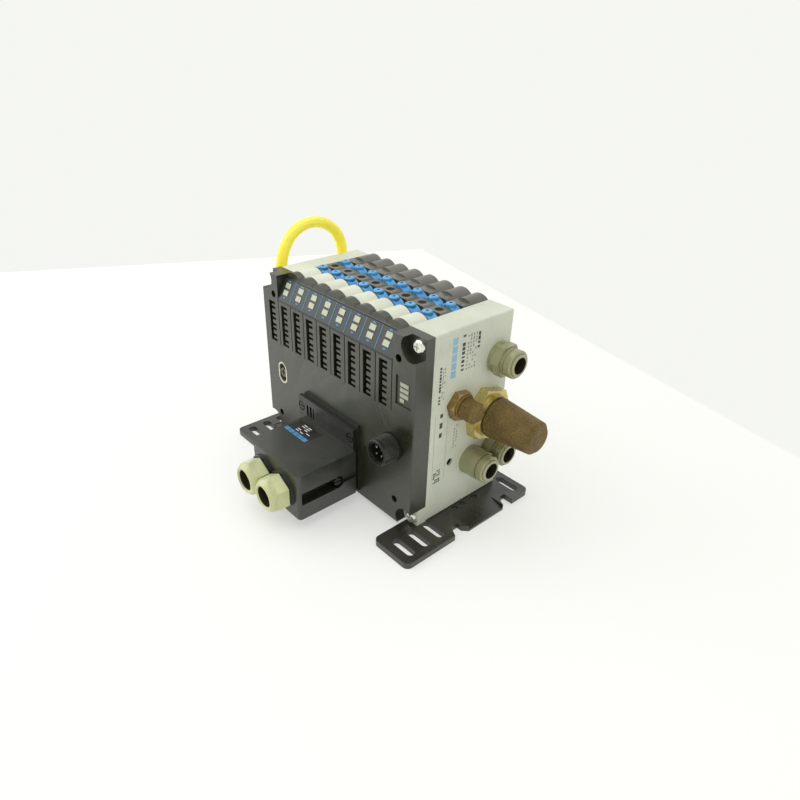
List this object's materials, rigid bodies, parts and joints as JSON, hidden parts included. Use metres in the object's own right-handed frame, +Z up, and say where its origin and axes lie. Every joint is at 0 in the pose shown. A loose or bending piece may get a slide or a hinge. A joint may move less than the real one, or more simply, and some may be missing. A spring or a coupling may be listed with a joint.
{
  "type": "pneumatic valve island",
  "caption": "Pneumatic valve island with a combed front cover, push-button overrides, cable plug, round power plug, push-in air fittings, silencers and slotted foot brackets.",
  "frame": {"origin": "centre of the four outermost bracket slots, on the plane that the brackets stand on", "axes": "+Z up, +X along the bank of slices to the plate with the silencers, -Y to the front with the cable plug"},
  "size_m": [0.2085, 0.1509, 0.1534],
  "materials": {
    "cover": "fine texture",
    "strip": "satin",
    "lens": "satin",
    "steel": "bright zinc",
    "plug": "fine texture",
    "gland": "satin",
    "seal": "matt",
    "connector": "dark nickel",
    "contact": "gold plated",
    "aluminium": "fine blasted",
    "housing": "fine texture",
    "override": "satin",
    "brass": "dull",
    "fitting": "satin",
    "collar": "satin",
    "sinter": "sintered, rough",
    "bracket": "satin black",
    "tube": "clear satin"
  },
  "bodies": {
    "bank": {"front_cover": "cover", "display_strip": "strip", "light_lenses": "lens", "cover_screws": "steel", "earth_screw": "steel", "connector_frame": "plug", "plug_housing": "plug", "plug_screws": "steel", "gland_nuts": "gland", "gland_seals": "seal", "power_connector": "connector", "connector_pins": "contact", "end_plate_left": "aluminium", "end_plate_right": "aluminium", "valve_body_1": "aluminium", "valve_body_2": "aluminium", "valve_body_3": "aluminium", "valve_body_4": "aluminium", "valve_body_5": "aluminium", "valve_body_6": "aluminium", "valve_body_7": "aluminium", "valve_body_8": "aluminium", "pilot_housing_1": "housing", "pilot_housing_2": "housing", "pilot_housing_3": "housing", "pilot_housing_4": "housing", "pilot_housing_5": "housing", "pilot_housing_6": "housing", "pilot_housing_7": "housing", "pilot_housing_8": "housing", "housing_screws": "brass", "push_in_bodies": "fitting", "elbow_bodies": "fitting", "silencer_nut": "brass", "silencer_large": "sinter", "silencer_small": "brass", "bracket_left": "bracket", "bracket_right": "bracket", "supply_tube": "tube"},
    "override_front_1_body": {"override_front_1": "override"},
    "override_front_2_body": {"override_front_2": "override"},
    "override_front_3_body": {"override_front_3": "override"},
    "override_front_4_body": {"override_front_4": "override"},
    "override_front_5_body": {"override_front_5": "override"},
    "override_front_6_body": {"override_front_6": "override"},
    "override_front_7_body": {"override_front_7": "override"},
    "override_front_8_body": {"override_front_8": "override"},
    "override_rear_1_body": {"override_rear_1": "override"},
    "override_rear_2_body": {"override_rear_2": "override"},
    "override_rear_3_body": {"override_rear_3": "override"},
    "override_rear_4_body": {"override_rear_4": "override"},
    "override_rear_5_body": {"override_rear_5": "override"},
    "override_rear_6_body": {"override_rear_6": "override"},
    "override_rear_7_body": {"override_rear_7": "override"},
    "override_rear_8_body": {"override_rear_8": "override"},
    "release_collar_right_1_body": {"release_collar_right_1": "collar"},
    "release_collar_right_2_body": {"release_collar_right_2": "collar"},
    "release_collar_right_3_body": {"release_collar_right_3": "collar"},
    "release_collar_left_1_body": {"release_collar_left_1": "collar"},
    "release_collar_left_2_body": {"release_collar_left_2": "collar"}
  },
  "joints": [
    {"name": "override_front_1_press", "type": "slide", "parent": "bank", "child": "override_front_1_body", "axis": [0, 0, -1], "range_m": [0, 0.0015], "stiffness_N_per_m": 400},
    {"name": "override_front_2_press", "type": "slide", "parent": "bank", "child": "override_front_2_body", "axis": [0, 0, -1], "range_m": [0, 0.0015], "stiffness_N_per_m": 400},
    {"name": "override_front_3_press", "type": "slide", "parent": "bank", "child": "override_front_3_body", "axis": [0, 0, -1], "range_m": [0, 0.0015], "stiffness_N_per_m": 400},
    {"name": "override_front_4_press", "type": "slide", "parent": "bank", "child": "override_front_4_body", "axis": [0, 0, -1], "range_m": [0, 0.0015], "stiffness_N_per_m": 400},
    {"name": "override_front_5_press", "type": "slide", "parent": "bank", "child": "override_front_5_body", "axis": [0, 0, -1], "range_m": [0, 0.0015], "stiffness_N_per_m": 400},
    {"name": "override_front_6_press", "type": "slide", "parent": "bank", "child": "override_front_6_body", "axis": [0, 0, -1], "range_m": [0, 0.0015], "stiffness_N_per_m": 400},
    {"name": "override_front_7_press", "type": "slide", "parent": "bank", "child": "override_front_7_body", "axis": [0, 0, -1], "range_m": [0, 0.0015], "stiffness_N_per_m": 400},
    {"name": "override_front_8_press", "type": "slide", "parent": "bank", "child": "override_front_8_body", "axis": [0, 0, -1], "range_m": [0, 0.0015], "stiffness_N_per_m": 400},
    {"name": "override_rear_1_press", "type": "slide", "parent": "bank", "child": "override_rear_1_body", "axis": [0, 0, -1], "range_m": [0, 0.0015], "stiffness_N_per_m": 400},
    {"name": "override_rear_2_press", "type": "slide", "parent": "bank", "child": "override_rear_2_body", "axis": [0, 0, -1], "range_m": [0, 0.0015], "stiffness_N_per_m": 400},
    {"name": "override_rear_3_press", "type": "slide", "parent": "bank", "child": "override_rear_3_body", "axis": [0, 0, -1], "range_m": [0, 0.0015], "stiffness_N_per_m": 400},
    {"name": "override_rear_4_press", "type": "slide", "parent": "bank", "child": "override_rear_4_body", "axis": [0, 0, -1], "range_m": [0, 0.0015], "stiffness_N_per_m": 400},
    {"name": "override_rear_5_press", "type": "slide", "parent": "bank", "child": "override_rear_5_body", "axis": [0, 0, -1], "range_m": [0, 0.0015], "stiffness_N_per_m": 400},
    {"name": "override_rear_6_press", "type": "slide", "parent": "bank", "child": "override_rear_6_body", "axis": [0, 0, -1], "range_m": [0, 0.0015], "stiffness_N_per_m": 400},
    {"name": "override_rear_7_press", "type": "slide", "parent": "bank", "child": "override_rear_7_body", "axis": [0, 0, -1], "range_m": [0, 0.0015], "stiffness_N_per_m": 400},
    {"name": "override_rear_8_press", "type": "slide", "parent": "bank", "child": "override_rear_8_body", "axis": [0, 0, -1], "range_m": [0, 0.0015], "stiffness_N_per_m": 400},
    {"name": "release_collar_right_1_press", "type": "slide", "parent": "bank", "child": "release_collar_right_1_body", "axis": [-1, 0, 0], "range_m": [0, 0.001], "stiffness_N_per_m": 600},
    {"name": "release_collar_right_2_press", "type": "slide", "parent": "bank", "child": "release_collar_right_2_body", "axis": [-1, 0, 0], "range_m": [0, 0.001], "stiffness_N_per_m": 600},
    {"name": "release_collar_right_3_press", "type": "slide", "parent": "bank", "child": "release_collar_right_3_body", "axis": [-1, 0, 0], "range_m": [0, 0.001], "stiffness_N_per_m": 600},
    {"name": "release_collar_left_1_press", "type": "slide", "parent": "bank", "child": "release_collar_left_1_body", "axis": [0, 0, -1], "range_m": [0, 0.001], "stiffness_N_per_m": 600},
    {"name": "release_collar_left_2_press", "type": "slide", "parent": "bank", "child": "release_collar_left_2_body", "axis": [0, 0, -1], "range_m": [0, 0.001], "stiffness_N_per_m": 600}
  ]
}
